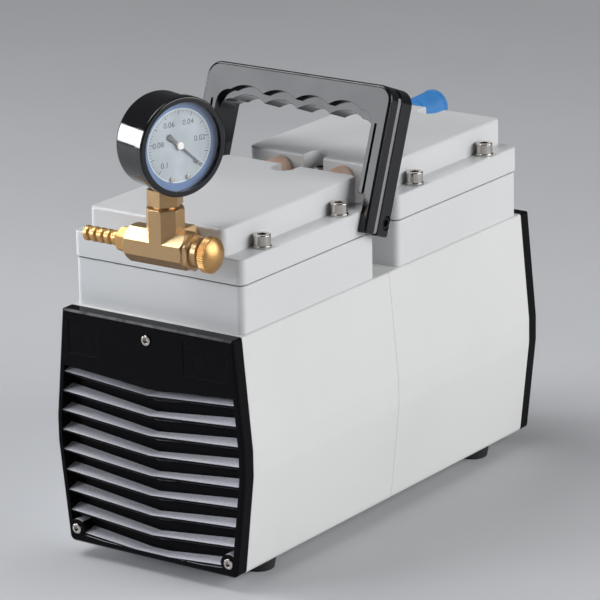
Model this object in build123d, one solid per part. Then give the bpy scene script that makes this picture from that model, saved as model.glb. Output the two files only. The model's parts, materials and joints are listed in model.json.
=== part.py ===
"""Portable twin-head diaphragm vacuum pump, in millimetres.

+X is right when facing the front grille, +Y runs from the front grille to the rear panel, +Z is up.
The floor is z = 0. Parts are drawn about the middle of the casing; FRAME_Y then moves every part so
that the origin lies under the middle of the whole pump's box.
"""

from build123d import *
from math import cos, radians, sin
import os

# ---- driving sizes -------------------------------------------------------------------------------

FRAME_Y = 10.46              # casing middle to the middle of the whole pump, gauge and silencer included

FOOT_HEIGHT = 8.5
CASE_WIDEST = 65.0           # half width between the two creases
CASE_FOOT = 58.5             # half width at the bottom
CASE_SHOULDER = 58.9         # half width at the top
CREASE_LOW = 67.0
CREASE_HIGH = 82.0
CASE_TOP = 146.6
SHOULDER_RADIUS = 1.2
CASE_FRONT = -144.0
CASE_REAR = 143.8
CASE_SEAM = 0.7
CASE_WALL = 3.0
PANEL_DEPTH = 8.8

HEAD_HALF = 58.2             # half width of a head's flange
FRONT_HEAD = (-141.2, -10.8) # first and last y of the front head
REAR_HEAD = (11.2, 141.6)
HEAD_CORNER = 4.5
SEAM_Z = 174.6               # underside of the head cover
GASKET_THICK = 0.8
BLOCK_INSET = 0.6            # a flange overhangs its cylinder block by this much
GASKET_INSET = 1.6
FLANGE_TOP = 189.3
COVER_TOP = 205.1
DOME_HALF = 46.2             # half width of the raised block on a cover

DIAPHRAGM_RADIUS = 49.0
DIAPHRAGM_THICK = 3.0
DIAPHRAGM_SEAT = SEAM_Z - 1.5
CRANK_THROW = 3.0
SHAFT_Z = 76.0
SHAFT_RADIUS = 8.0
RUNNING_GAP = 0.04           # radial clearance of a running fit

TUBE_X = 21.5                # inlet ports at +X, exhaust ports at -X
TUBE_Z = 195.6
PORT_X = 22.8                # the regulator's port in the front head
PORT_Z = 197.0
PORT_RADIUS = 5.0
SCREW_SIDE_X = 51.9
SCREW_PITCH_Y = 37.5
NOTCH_DEPTH = 8.0            # head face to the middle of the end screw

VALVE_Y = -162.0             # axis of the regulator body, at the height of the ports
GAUGE_Z = 256.9
GAUGE_TURN = 71.0            # the dial's normal, in degrees from -Y towards +X

HANDLE_LEAN = 20.8           # degrees back from upright at rest
HANDLE_PIVOT = (-9.4, 179.2) # y and z
HANDLE_HALF = 64.3
HANDLE_DEPTH = 24.0
HANDLE_FACE = 19.3           # pivot to the front face
HANDLE_TOP = 76.2            # pivot to the top face, along the legs
HANDLE_FOOT = 8.2            # pivot to the bottom of a leg, along the legs


# ---- helpers -------------------------------------------------------------------------------------

BASE = (Align.CENTER, Align.CENTER, Align.MIN)


def write(name, *solids):
    """Move the solids into the pump's own frame and write them as one node."""
    moved = [Pos(0, FRAME_Y, 0) * solid for group in solids for solid in group.solids()]
    shape = moved[0] if len(moved) == 1 else Compound(children=moved)
    export_step(shape, f"parts/{name}.step")


def along_x(sketch, start, end):
    """Extrude a sketch drawn in (Y, Z) from x = start to x = end."""
    return extrude(Plane(origin=(start, 0, 0), x_dir=(0, 1, 0), z_dir=(1, 0, 0)) * sketch, amount=end - start)


def along_y(sketch, start, end):
    """Extrude a sketch drawn in (X, Z) from y = start to y = end."""
    return extrude(Plane(origin=(0, end, 0), x_dir=(1, 0, 0), z_dir=(0, -1, 0)) * sketch, amount=end - start)


def along_z(sketch, start, end):
    """Extrude a sketch drawn in (X, Y) from z = start to z = end."""
    return extrude(Pos(0, 0, start) * sketch, amount=end - start)


def shaft_x(radius, start, end, y, z):
    return Plane(origin=(start, y, z), z_dir=(1, 0, 0)) * Cylinder(radius, end - start, align=BASE)


def shaft_y(radius, start, end, x, z):
    return Plane(origin=(x, start, z), z_dir=(0, 1, 0)) * Cylinder(radius, end - start, align=BASE)


def shaft_z(radius, start, end, x, y):
    return Pos(x, y, start) * Cylinder(radius, end - start, align=BASE)


def polygon(*points):
    return make_face(Polyline(*points, close=True))


def flats(sides, across, turn=0.0):
    """Regular polygon with its flats `across` apart; one flat faces down when turn is 0."""
    radius = across / 2 / cos(radians(180 / sides))
    return Rot(0, 0, turn - 90 + 180 / sides) * RegularPolygon(radius, sides)


def cap_screw(head_radius, head_height, shank_radius, shank_length):
    """Socket cap screw: the head stands on z = 0 and the shank points down."""
    head = fillet(Cylinder(head_radius, head_height, align=BASE).edges().group_by(Axis.Z)[-1], 0.5)
    socket = extrude(flats(6, head_radius), amount=head_height * 0.55)
    shank = Pos(0, 0, -shank_length) * Cylinder(shank_radius, shank_length, align=BASE)
    return head - Pos(0, 0, head_height * 0.45) * socket + shank


def sheet_ring(outer, inner, start, end, axis_point):
    """Ring about the Y direction."""
    x, z = axis_point
    return shaft_y(outer, start, end, x, z) - shaft_y(inner, start, end, x, z)


# ---- casing --------------------------------------------------------------------------------------

def casing_outline(inset=0.0):
    """The casing's section in X and Z: straight foot and shoulder walls between two soft creases."""
    right = [(CASE_FOOT, FOOT_HEIGHT), (CASE_WIDEST, CREASE_LOW), (CASE_WIDEST, CREASE_HIGH),
             (CASE_SHOULDER, CASE_TOP)]
    left = [(-x, z) for x, z in reversed(right)]
    face = polygon(*right, *left)
    creases = [v for v in face.vertices() if abs(v.X) > CASE_WIDEST - 1]
    face = fillet(creases, 22.0)
    face = fillet([v for v in face.vertices() if v.Y < FOOT_HEIGHT + 0.1], 3.5)
    face = fillet([v for v in face.vertices() if v.Y > CASE_TOP - 0.1], SHOULDER_RADIUS)
    return offset(face, amount=-inset) if inset else face


BULKHEAD_Y = (53.0, 58.0)    # the rib that carries a motor end bell, measured from the casing middle
BELL_RADIUS = 61.0
CRANK_OPENING = 44.0
SEAM_CHAMFER = 0.35


def head_middle(head):
    return (head[0] + head[1]) / 2


def casing_half(start, end, rib, head):
    """One half of the white housing, open at both ends, with a rib for the motor and a crank opening."""
    skin = along_y(casing_outline(), start, end)
    rims = skin.edges().filter_by(GeomType.LINE).filter_by(Axis.Y, reverse=True)
    rims += skin.edges().filter_by(GeomType.CIRCLE)
    skin = chamfer(rims, SEAM_CHAMFER)
    shell = skin - along_y(casing_outline(CASE_WALL), start - 1, end + 1)
    ring = along_y(casing_outline(CASE_WALL - 0.5), *rib) - shaft_y(BELL_RADIUS, rib[0], rib[1], 0, SHAFT_Z)
    opening = shaft_z(CRANK_OPENING, CASE_TOP - 2 * CASE_WALL, CASE_TOP + 1, 0, head_middle(head))
    return shell + ring - opening


front_rib = (-BULKHEAD_Y[1], -BULKHEAD_Y[0])
casing_front = casing_half(CASE_FRONT, CASE_SEAM, front_rib, FRONT_HEAD)
casing_rear = casing_half(CASE_SEAM, CASE_REAR, BULKHEAD_Y, REAR_HEAD)


# ---- grilles -------------------------------------------------------------------------------------

SLAT_PITCH = 11.75
SLAT_FIRST = 110.0           # z of the top slat's front edge at its ends
SLAT_DROP = 4.9              # the front edge is this much lower in the middle
SLAT_RISE = 2.4              # the rear edge stands this much above the front edge at the ends
SLAT_DEPTH = 8.4
OPENING_MARGIN = 3.5
PANEL_SCREWS = [(0.0, 137.4), (-53.0, 16.5), (53.0, 16.5)]
PANEL_SCREW_SINK = 1.5
PANEL_EDGE = 1.2             # bevel round the face of an end panel
SCREW_PILLAR = 5.4           # radius of the solid part of the panel round a lower screw


def slat(front_y, end_z):
    """A louvre blade with an upturned rear edge, sagging to a shallow V in the middle."""
    def section(x, drop, rise):
        z = end_z - drop
        back = front_y + SLAT_DEPTH
        return [Vector(x, y, h) for y, h in [
            (front_y, z), (back, z + rise), (back, z + rise + 6.4), (back + 1.0, z + rise + 6.4),
            (back + 1.0, z + rise - 1.6), (front_y + 0.9, z - 1.8), (front_y, z - 0.8)]]
    stations = [(-CASE_WIDEST, 0.0, SLAT_RISE), (-5.0, 0.92 * SLAT_DROP, 0.35), (0.0, SLAT_DROP, 0.2),
                (5.0, 0.92 * SLAT_DROP, 0.35), (CASE_WIDEST, 0.0, SLAT_RISE)]
    faces = [make_face(Polyline(*section(*station), close=True)) for station in stations]
    blade = loft(faces[0:2], ruled=True)
    for pair in zip(faces[1:-1], faces[2:]):
        blade += loft(list(pair), ruled=True)
    return blade


def grille(front_y, slat_ends):
    """Black end panel: a plate with a louvred opening under a plain upper field."""
    plate = along_y(casing_outline(), front_y, front_y + PANEL_DEPTH)
    rim = [e for e in plate.edges() if abs(e.center().Y - front_y) < 0.01]
    plate = chamfer(rim, PANEL_EDGE)
    roof = slat_ends[0] + 4.0
    window = casing_outline(OPENING_MARGIN) & polygon(
        (-CASE_WIDEST, 0), (CASE_WIDEST, 0), (CASE_WIDEST, roof), (0, roof - SLAT_DROP), (-CASE_WIDEST, roof))
    for x, z in PANEL_SCREWS[1:]:
        window -= Pos(x, z) * Circle(SCREW_PILLAR)
        window -= Pos(x * 1.06, z - SCREW_PILLAR) * Rectangle(13, 9)
    floor = slat_ends[-1] - SLAT_DROP - 1.6
    window -= polygon((-CASE_WIDEST, 0), (CASE_WIDEST, 0), (CASE_WIDEST, floor + SLAT_DROP), (0, floor),
                      (-CASE_WIDEST, floor + SLAT_DROP))
    plate -= along_y(window, front_y - 1, front_y + PANEL_DEPTH + 1)
    reach = along_y(window, front_y + 0.1, front_y + SLAT_DEPTH + 1.2)
    for end_z in slat_ends:
        plate += slat(front_y + 0.5, end_z) & reach
    for x, z in PANEL_SCREWS:
        plate -= shaft_y(3.4, front_y - 1, front_y + PANEL_SCREW_SINK, x, z)
        plate -= shaft_y(1.6, front_y, front_y + PANEL_DEPTH + 1, x, z)
    return plate


def label_recess(left, right, low, high, front_y):
    return Pos((left + right) / 2, front_y, (low + high) / 2) * Box(right - left, 0.5, high - low)


front_slats = [SLAT_FIRST - SLAT_PITCH * i for i in range(9)]
front_panel_y = CASE_FRONT - PANEL_DEPTH
panel_front = grille(front_panel_y, front_slats)
panel_front -= label_recess(-54.5, -34.5, 121.5, 140.5, front_panel_y)
panel_front -= label_recess(25.0, 54.5, 121.5, 141.0, front_panel_y)

INLET_X = 27.0
INLET_Z = 124.0
SWITCH_X = -27.0
SWITCH_Z = 124.0
INLET_CUT = (27.4, 20.2)
SWITCH_CUT = (21.2, 27.4)

rear_slats = [SLAT_FIRST - SLAT_PITCH * i for i in range(1, 9)]
panel_rear = mirror(grille(-(CASE_REAR + PANEL_DEPTH), rear_slats), Plane.XZ)
for x, z, (width, height) in ((INLET_X, INLET_Z, INLET_CUT), (SWITCH_X, SWITCH_Z, SWITCH_CUT)):
    panel_rear -= along_y(Pos(x, z) * Rectangle(width, height), CASE_REAR - 1, CASE_REAR + PANEL_DEPTH + 1)


def panel_screw_set():
    screw = cap_screw(3.0, 2.4, 1.6, 12.0)
    front = front_panel_y + PANEL_SCREW_SINK
    rear = CASE_REAR + PANEL_DEPTH - PANEL_SCREW_SINK
    facing_front = [Plane(origin=(x, front, z), z_dir=(0, -1, 0)) * screw for x, z in PANEL_SCREWS]
    facing_rear = [Plane(origin=(x, rear, z), z_dir=(0, 1, 0)) * screw for x, z in PANEL_SCREWS]
    return facing_front + facing_rear


def panel_boss(x, z, start, end):
    """Pillar on the casing's inner wall that a panel screw bites into."""
    wall_z = CASE_TOP if z > SHAFT_Z else FOOT_HEIGHT
    pillar = Pos(x, z) * Circle(5.0) + Pos(x, (z + wall_z) / 2) * Rectangle(10.0, abs(wall_z - z))
    return along_y(pillar & casing_outline(CASE_WALL - 0.5), start, end)


BOSS_DEPTH = 16.0
for x, z in PANEL_SCREWS:
    casing_front += panel_boss(x, z, CASE_FRONT, CASE_FRONT + BOSS_DEPTH)
    casing_front -= shaft_y(1.6, CASE_FRONT - 1, CASE_FRONT + BOSS_DEPTH - 2, x, z)
    casing_rear += panel_boss(x, z, CASE_REAR - BOSS_DEPTH, CASE_REAR)
    casing_rear -= shaft_y(1.6, CASE_REAR - BOSS_DEPTH + 2, CASE_REAR + 1, x, z)


# ---- feet ----------------------------------------------------------------------------------------

FOOT_X = 44.0
FOOT_Y = 112.0
FOOT_PLACES = [(x, y) for x in (-FOOT_X, FOOT_X) for y in (-FOOT_Y, FOOT_Y)]


def foot():
    body = Cone(9.0, 10.5, FOOT_HEIGHT, align=BASE)
    body = fillet(body.edges().group_by(Axis.Z)[0], 1.0)
    return body - Cylinder(4.4, 4.5, align=BASE) - Cylinder(2.1, FOOT_HEIGHT, align=BASE)


feet = [Pos(x, y, 0) * foot() for x, y in FOOT_PLACES]
foot_screw = cap_screw(4.0, 2.6, 2.0, 8.0).rotate(Axis.X, 180)
foot_screws = [Pos(x, y, 4.5) * foot_screw for x, y in FOOT_PLACES]
for x, y in FOOT_PLACES:
    hole = shaft_z(2.0, FOOT_HEIGHT - 1, FOOT_HEIGHT + CASE_WALL + 2, x, y)
    if y < 0:
        casing_front -= hole
    else:
        casing_rear -= hole


# ---- heads ---------------------------------------------------------------------------------------

CHAMBER_RADIUS = 38.0
CHAMBER_TOP = 200.0
PLATE_TOP = 188.0
STROKE_ROOM = 183.6          # underside of the valve plate above the moving clamp disc
PIVOT_LUG = (DOME_HALF - 0.1, HEAD_HALF - 0.2)
LUG_RADIUS = 4.5
PORT_DEPTH = 37.0            # head face to the gas chamber


def head_plan(head, inset=0.0):
    width = 2 * (HEAD_HALF - inset)
    length = head[1] - head[0] - 2 * inset
    return Pos(0, head_middle(head)) * RectangleRounded(width, length, HEAD_CORNER - inset)


def head_screw_places(head):
    middle = head_middle(head)
    sides = [(x, middle + y) for x in (-SCREW_SIDE_X, SCREW_SIDE_X) for y in (-SCREW_PITCH_Y, SCREW_PITCH_Y)]
    return sides + [(0.0, head[0] + NOTCH_DEPTH), (0.0, head[1] - NOTCH_DEPTH)]


def cylinder_block(head):
    """Lower block of a head, bored through for the connecting rod and stepped for the diaphragm."""
    middle = head_middle(head)
    block = along_z(head_plan(head, BLOCK_INSET), CASE_TOP, SEAM_Z - GASKET_THICK)
    block = chamfer(block.edges().group_by(Axis.Z)[-1], 0.4)
    block -= shaft_z(CRANK_OPENING, CASE_TOP - 1, SEAM_Z + 1, 0, middle)
    block -= shaft_z(DIAPHRAGM_RADIUS, DIAPHRAGM_SEAT, SEAM_Z + 1, 0, middle)
    for x, y in head_screw_places(head):
        block -= shaft_z(3.0, SEAM_Z - 14, SEAM_Z + 1, x, y)
    return block


def head_gasket(head):
    """Sealing sheet between a cylinder block and its cover, round the diaphragm's rim."""
    sheet = along_z(head_plan(head, GASKET_INSET), SEAM_Z - GASKET_THICK, SEAM_Z)
    sheet -= shaft_z(DIAPHRAGM_RADIUS, SEAM_Z - 2, SEAM_Z + 1, 0, head_middle(head))
    for x, y in head_screw_places(head):
        sheet -= shaft_z(3.0, SEAM_Z - 2, SEAM_Z + 1, x, y)
    return sheet


def head_cover(head, ports):
    """Head cover: bolting flange, raised block with end notches, and two gas chambers inside.

    Each port is (x, z, side); side is -1 for the head's front face and 1 for its rear face.
    """
    middle = head_middle(head)
    length = head[1] - head[0]
    flange = along_z(head_plan(head), SEAM_Z, FLANGE_TOP)
    flange = fillet(flange.edges().group_by(Axis.Z)[-1], 1.0)
    flange = chamfer(flange.edges().group_by(Axis.Z)[0], 0.4)
    dome_plan = Pos(0, middle) * RectangleRounded(2 * DOME_HALF, length - 0.02, 4.0)
    dome = along_z(dome_plan, FLANGE_TOP - 4, COVER_TOP)
    dome = fillet(dome.edges().group_by(Axis.Z)[-1], 1.6)
    cover = flange + dome
    for edge_y, inward in ((head[0], 1), (head[1], -1)):
        centre = edge_y + inward * NOTCH_DEPTH
        slot = Pos(0, centre) * Circle(7.0) + Pos(0, centre - inward * 10) * Rectangle(14.0, 20.0)
        cover -= along_z(slot, FLANGE_TOP, COVER_TOP + 1)
    cover -= shaft_z(DIAPHRAGM_RADIUS, SEAM_Z - 1, PLATE_TOP, 0, middle)
    chamber = shaft_z(CHAMBER_RADIUS, PLATE_TOP - 1, CHAMBER_TOP, 0, middle)
    cover -= chamber - Pos(0, middle, CHAMBER_TOP) * Box(5, 2 * CHAMBER_RADIUS + 2, 60)
    for x, z, side in ports:
        face = head[0] if side < 0 else head[1]
        start, end = sorted((face + side, face - side * PORT_DEPTH))
        cover -= shaft_y(PORT_RADIUS, start, end, x, z)
    for x, y in head_screw_places(head):
        cover -= shaft_z(3.0, SEAM_Z - 1, FLANGE_TOP + 1, x, y)
    return cover


def valve_plate(head):
    """Disc above the diaphragm with rows of inlet and exhaust ports."""
    middle = head_middle(head)
    plate = shaft_z(DIAPHRAGM_RADIUS, DIAPHRAGM_SEAT + DIAPHRAGM_THICK, PLATE_TOP, 0, middle)
    plate -= Pos(0, middle, DIAPHRAGM_SEAT + DIAPHRAGM_THICK) * Cone(
        41.0, 34.0, STROKE_ROOM - DIAPHRAGM_SEAT - DIAPHRAGM_THICK, align=BASE)
    for x in (-15.0, 15.0):
        for row in (-8.0, 0.0, 8.0):
            plate -= shaft_z(2.4, STROKE_ROOM - 1, PLATE_TOP + 1, x, middle + row)
    return plate


def reed(x, middle, z):
    """Spring-steel flap over one row of ports."""
    return Pos(x, middle, z) * extrude(RectangleRounded(9.0, 28.0, 3.0), amount=0.4)


def reeds(head):
    middle = head_middle(head)
    return [reed(-15.0, middle, PLATE_TOP), reed(15.0, middle, STROKE_ROOM - 0.4)]


HEADS = {"front": FRONT_HEAD, "rear": REAR_HEAD}
front_ports = [(-TUBE_X, TUBE_Z, 1), (TUBE_X, TUBE_Z, 1), (PORT_X, PORT_Z, -1)]
rear_ports = [(-TUBE_X, TUBE_Z, -1), (TUBE_X, TUBE_Z, -1), (-TUBE_X, PORT_Z, 1), (TUBE_X, PORT_Z, 1)]
blocks = {name: cylinder_block(head) for name, head in HEADS.items()}
covers = {"front": head_cover(FRONT_HEAD, front_ports), "rear": head_cover(REAR_HEAD, rear_ports)}

pivot_y, pivot_z = HANDLE_PIVOT
for side in (-1, 1):
    lug_face = Pos(pivot_y, pivot_z) * Circle(LUG_RADIUS)
    lug_face += Pos(pivot_y - LUG_RADIUS, pivot_z) * Rectangle(2 * LUG_RADIUS, 2 * LUG_RADIUS)
    start, end = sorted(side * x for x in PIVOT_LUG)
    covers["front"] += along_x(lug_face, start, end)
    covers["front"] -= shaft_x(2.5, start - 1, end + 1, pivot_y, pivot_z)

head_screw = cap_screw(5.0, 6.0, 3.0, 28.0)
head_washer = fillet(Cylinder(5.5, 1.6, align=BASE).edges().group_by(Axis.Z)[-1], 0.4) - Cylinder(3.0, 4.0)
screw_places = head_screw_places(FRONT_HEAD) + head_screw_places(REAR_HEAD)
head_screws = [Pos(x, y, FLANGE_TOP + 1.6) * head_screw for x, y in screw_places]
head_washers = [Pos(x, y, FLANGE_TOP) * head_washer for x, y in screw_places]


# ---- diaphragms, rods and drive ------------------------------------------------------------------

CLAMP_RADIUS = 26.0
CLAMP_THICK = 3.0
ROD_WIDTH = 12.0
ECCENTRIC_RADIUS = 14.0
BEARING_OUTER = 23.5
CRANKS = {"front": (head_middle(FRONT_HEAD), -CRANK_THROW), "rear": (head_middle(REAR_HEAD), CRANK_THROW)}


def diaphragm(name):
    """Rubber disc clamped at its rim; its middle stands at this crank's dead centre."""
    middle, lift = CRANKS[name]
    low = DIAPHRAGM_SEAT
    high = low + DIAPHRAGM_THICK
    half = [(3.0, low + lift), (CLAMP_RADIUS + 1, low + lift), (40.0, low), (DIAPHRAGM_RADIUS, low),
            (DIAPHRAGM_RADIUS, high), (40.0, high), (CLAMP_RADIUS + 1, high + lift), (3.0, high + lift)]
    return Pos(0, middle, 0) * revolve(Plane.XZ * polygon(*half), Axis.Z)


def diaphragm_clamp(name):
    """The two discs that grip the diaphragm's middle, and the screw that draws them together."""
    middle, lift = CRANKS[name]
    low = DIAPHRAGM_SEAT + lift
    high = low + DIAPHRAGM_THICK
    lower = Pos(0, middle, low - CLAMP_THICK) * (Cylinder(CLAMP_RADIUS, CLAMP_THICK, align=BASE)
                                                 - Cylinder(3.0, CLAMP_THICK, align=BASE))
    upper = Cylinder(CLAMP_RADIUS, CLAMP_THICK, align=BASE)
    upper = fillet(upper.edges().group_by(Axis.Z)[-1], 1.0)
    upper -= Cylinder(3.0, CLAMP_THICK, align=BASE)
    upper -= Cone(3.0, 6.0, CLAMP_THICK, align=BASE)
    screw = Cone(3.0, 6.0, CLAMP_THICK, align=BASE) + Pos(0, 0, -18) * Cylinder(3.0, 18, align=BASE)
    screw -= Pos(0, 0, CLAMP_THICK - 1.8) * extrude(flats(6, 4.0), amount=3)
    return [lower, Pos(0, middle, high) * upper, Pos(0, middle, high) * screw]


def connecting_rod(name):
    """Cast rod: big end round the bearing, tapered shank and a round table under the lower clamp disc."""
    middle, lift = CRANKS[name]
    centre_z = SHAFT_Z + lift
    top = DIAPHRAGM_SEAT + lift - CLAMP_THICK
    start, end = middle - ROD_WIDTH / 2, middle + ROD_WIDTH / 2
    body = shaft_y(BEARING_OUTER + 5.5, start, end, 0, centre_z)
    shank = polygon((-13, centre_z), (13, centre_z), (8, top - 4), (-8, top - 4))
    body += along_y(shank, start + 1, end - 1)
    body += Pos(0, middle, top - 12) * Cone(7.0, 16.0, 8.0, align=BASE)
    body += Pos(0, middle, top - 4) * Cylinder(16.0, 4.0, align=BASE)
    body -= shaft_y(BEARING_OUTER, start - 1, end + 1, 0, centre_z)
    return body - shaft_z(3.0, top - 14, top + 1, 0, middle)


def rod_bearing(name):
    middle, lift = CRANKS[name]
    start, end = middle - ROD_WIDTH / 2, middle + ROD_WIDTH / 2
    ring = sheet_ring(BEARING_OUTER, ECCENTRIC_RADIUS + RUNNING_GAP, start, end, (0, SHAFT_Z + lift))
    for groove in (start, end - 0.6):
        centre = (0, SHAFT_Z + lift)
        ring -= sheet_ring(BEARING_OUTER - 2.5, ECCENTRIC_RADIUS + 2.5, groove, groove + 0.6, centre)
    return ring


def eccentric(name, outward):
    """Offset disc on the shaft with a counterweight on its outboard side."""
    middle, lift = CRANKS[name]
    start, end = middle - ROD_WIDTH / 2 - 1, middle + ROD_WIDTH / 2 + 1
    disc = shaft_y(ECCENTRIC_RADIUS, start, end, 0, SHAFT_Z + lift)
    weight_start, weight_end = (start - 9, start) if outward < 0 else (end, end + 9)
    hub = shaft_y(12.0, weight_start, weight_end, 0, SHAFT_Z)
    sector = shaft_y(31.0, weight_start, weight_end, 0, SHAFT_Z)
    keep = Pos(0, middle, SHAFT_Z - 40 * lift / CRANK_THROW) * Box(80, 80, 68)
    return disc + hub + (sector & keep) - shaft_y(SHAFT_RADIUS, start - 20, end + 20, 0, SHAFT_Z)


SHAFT_END = 136.0
STATOR_HALF = 32.0
ROTOR_RADIUS = 29.8

motor_shaft = shaft_y(SHAFT_RADIUS, -SHAFT_END, SHAFT_END, 0, SHAFT_Z)
motor_shaft = chamfer(motor_shaft.edges().filter_by(GeomType.CIRCLE), 0.8)
rotor_core = sheet_ring(ROTOR_RADIUS, SHAFT_RADIUS, -STATOR_HALF, STATOR_HALF, (0, SHAFT_Z))
stator_core = sheet_ring(54.0, ROTOR_RADIUS + 0.5, -STATOR_HALF, STATOR_HALF, (0, SHAFT_Z))


def end_turns(start):
    """One bundle of winding end turns, as a ring with rounded edges."""
    ring = sheet_ring(49.0, 34.0, start, start + 13.0, (0, SHAFT_Z))
    return fillet(ring.edges().filter_by(GeomType.CIRCLE), 3.5)


windings = [end_turns(-STATOR_HALF - 13.0), end_turns(STATOR_HALF)]


def end_bell(outward):
    """Motor end bell: rim plate in the casing rib, skirt over the stator and a boss for the bearing."""
    near, far = BULKHEAD_Y
    plate = shaft_y(BELL_RADIUS, near, far, 0, SHAFT_Z)
    skirt = sheet_ring(57.0, 54.0, STATOR_HALF - 3, near, (0, SHAFT_Z))
    boss = shaft_y(22.0, near, far + 8, 0, SHAFT_Z)
    bell = plate + skirt + boss - shaft_y(17.5, near + 2, far + 9, 0, SHAFT_Z)
    bell -= shaft_y(11.0, near - 1, far + 9, 0, SHAFT_Z)
    vent = shaft_y(8.0, near - 1, far + 1, 0, SHAFT_Z + 39)
    for step in range(8):
        bell -= vent.rotate(Axis((0, 0, SHAFT_Z), (0, 1, 0)), 45 * step + 22.5)
    return bell if outward > 0 else mirror(bell, Plane.XZ)


def shaft_bearing(start):
    return sheet_ring(17.5, SHAFT_RADIUS + RUNNING_GAP, start, start + 11.0, (0, SHAFT_Z))


bearings = [shaft_bearing(BULKHEAD_Y[0] + 2), shaft_bearing(-BULKHEAD_Y[0] - 13)]

FAN_RADIUS = 48.0
FAN_WIDTH = 12.0
FAN_Y = 118.0


def fan(outward):
    """Straight-bladed cooling fan on one end of the shaft."""
    start = FAN_Y
    hub = shaft_y(14.0, start, start + FAN_WIDTH, 0, SHAFT_Z)
    disc = shaft_y(FAN_RADIUS, start, start + 2.0, 0, SHAFT_Z)
    wheel = hub + disc
    blade = Pos(0, start + FAN_WIDTH / 2, SHAFT_Z + 30) * Rot(0, 0, 14) * Box(2.2, FAN_WIDTH, 34)
    blade &= shaft_y(FAN_RADIUS, start, start + FAN_WIDTH, 0, SHAFT_Z)
    for step in range(10):
        wheel += blade.rotate(Axis((0, 0, SHAFT_Z), (0, 1, 0)), 36 * step)
    wheel -= shaft_y(SHAFT_RADIUS, start - 1, start + FAN_WIDTH + 1, 0, SHAFT_Z)
    return wheel if outward > 0 else mirror(wheel, Plane.XZ)


# ---- gas lines between the heads -----------------------------------------------------------------

TUBE_RADIUS = 7.0
NIPPLE_REACH = 8.0


def nipple(x, head_face, inward):
    """Threaded stub with a collar; `inward` points into the head."""
    ends = sorted((head_face + inward * 9.0, head_face - inward * NIPPLE_REACH))
    stub = shaft_y(PORT_RADIUS, *ends, x, TUBE_Z)
    return stub - shaft_y(3.2, ends[0] - 1, ends[1] + 1, x, TUBE_Z)


nipples = [nipple(x, face, inward) for x in (-TUBE_X, TUBE_X)
           for face, inward in ((FRONT_HEAD[1], -1), (REAR_HEAD[0], 1))]


def gas_tube(x):
    """Silicone sleeve pushed over two facing stubs."""
    start, end = FRONT_HEAD[1] + 0.4, REAR_HEAD[0] - 0.4
    tube = sheet_ring(TUBE_RADIUS, PORT_RADIUS, start, end, (x, TUBE_Z))
    return fillet(tube.edges().filter_by(GeomType.CIRCLE).sort_by(SortBy.RADIUS)[-2:], 0.8)


def port_plug():
    """Hex-socket plug that closes the rear head's unused inlet port."""
    face = REAR_HEAD[1]
    body = shaft_y(PORT_RADIUS, face - 9.0, face, TUBE_X, PORT_Z)
    return body - along_y(Pos(TUBE_X, PORT_Z) * flats(6, 5.0), face - 3.5, face + 1)


# ---- vacuum regulator ----------------------------------------------------------------------------

BODY_ACROSS = 20.0
BODY_X = (0.3, 40.0)
BRANCH_TOP = 219.8
STEM_RADIUS = 3.0
valve_axis = (VALVE_Y, PORT_Z)


def turned_ends(solid, radius, start, end, chamfer_length):
    """Trim a bar's corners with a cone at each end, as turning does."""
    y, z = valve_axis
    outer = radius * 1.12
    inner = outer - chamfer_length
    cutter = Plane(origin=(start, y, z), z_dir=(1, 0, 0)) * Cone(inner, outer, chamfer_length, align=BASE)
    cutter += shaft_x(outer, start + chamfer_length, end - chamfer_length, y, z)
    cutter += Plane(origin=(end, y, z), z_dir=(-1, 0, 0)) * Cone(inner, outer, chamfer_length, align=BASE)
    return solid & cutter


def valve_body():
    """Octagonal tee: a bar along X, a branch up to the gauge and a spigot back to the head."""
    bar = along_x(Pos(*valve_axis) * flats(8, BODY_ACROSS), *BODY_X)
    bar = turned_ends(bar, BODY_ACROSS / 2, *BODY_X, 1.6)
    branch = along_z(Pos(PORT_X, VALVE_Y) * flats(8, BODY_ACROSS), PORT_Z, BRANCH_TOP)
    taper = Cone(11.4, 9.8, 1.6, align=BASE)
    branch &= (shaft_z(11.4, PORT_Z - 1, BRANCH_TOP - 1.6, PORT_X, VALVE_Y)
               + Pos(PORT_X, VALVE_Y, BRANCH_TOP - 1.6) * taper)
    body = bar + branch
    body -= shaft_x(4.0, BODY_X[0] - 1, BODY_X[0] + 9, *valve_axis)
    body -= shaft_x(2.2, BODY_X[0], BODY_X[1] - 8, *valve_axis)
    body -= shaft_x(5.0, BODY_X[1] - 9, BODY_X[1] + 1, *valve_axis)
    body -= shaft_z(4.8, BRANCH_TOP - 10, BRANCH_TOP + 1, PORT_X, VALVE_Y)
    body -= shaft_z(2.2, PORT_Z, BRANCH_TOP, PORT_X, VALVE_Y)
    body -= shaft_y(4.5, VALVE_Y + 4, VALVE_Y + 12, PORT_X, PORT_Z)
    return body


def inlet_nipple():
    """Short pipe from the front head's inlet port to the back of the regulator, with a hex collar."""
    start, end = VALVE_Y + 4, FRONT_HEAD[0] + 9
    pipe = shaft_y(4.5, start, FRONT_HEAD[0], PORT_X, PORT_Z)
    pipe += shaft_y(PORT_RADIUS, FRONT_HEAD[0] - 1, end, PORT_X, PORT_Z)
    collar_start = VALVE_Y + BODY_ACROSS / 2 + 0.5
    collar = along_y(Pos(PORT_X, PORT_Z) * flats(6, 17.0), collar_start, FRONT_HEAD[0] - 1.0)
    washer = shaft_y(8.0, FRONT_HEAD[0] - 1.0, FRONT_HEAD[0], PORT_X, PORT_Z)
    return pipe + collar + washer - shaft_y(2.5, start - 1, end + 1, PORT_X, PORT_Z)


BARB_CREST = 4.3
BARB_ROOT = 3.2
BARB_PITCH = 4.95
BARB_COUNT = 5
BARB_GROOVE = 1.1            # width of the groove between two ridges
HEX_LENGTH = 7.6


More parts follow.
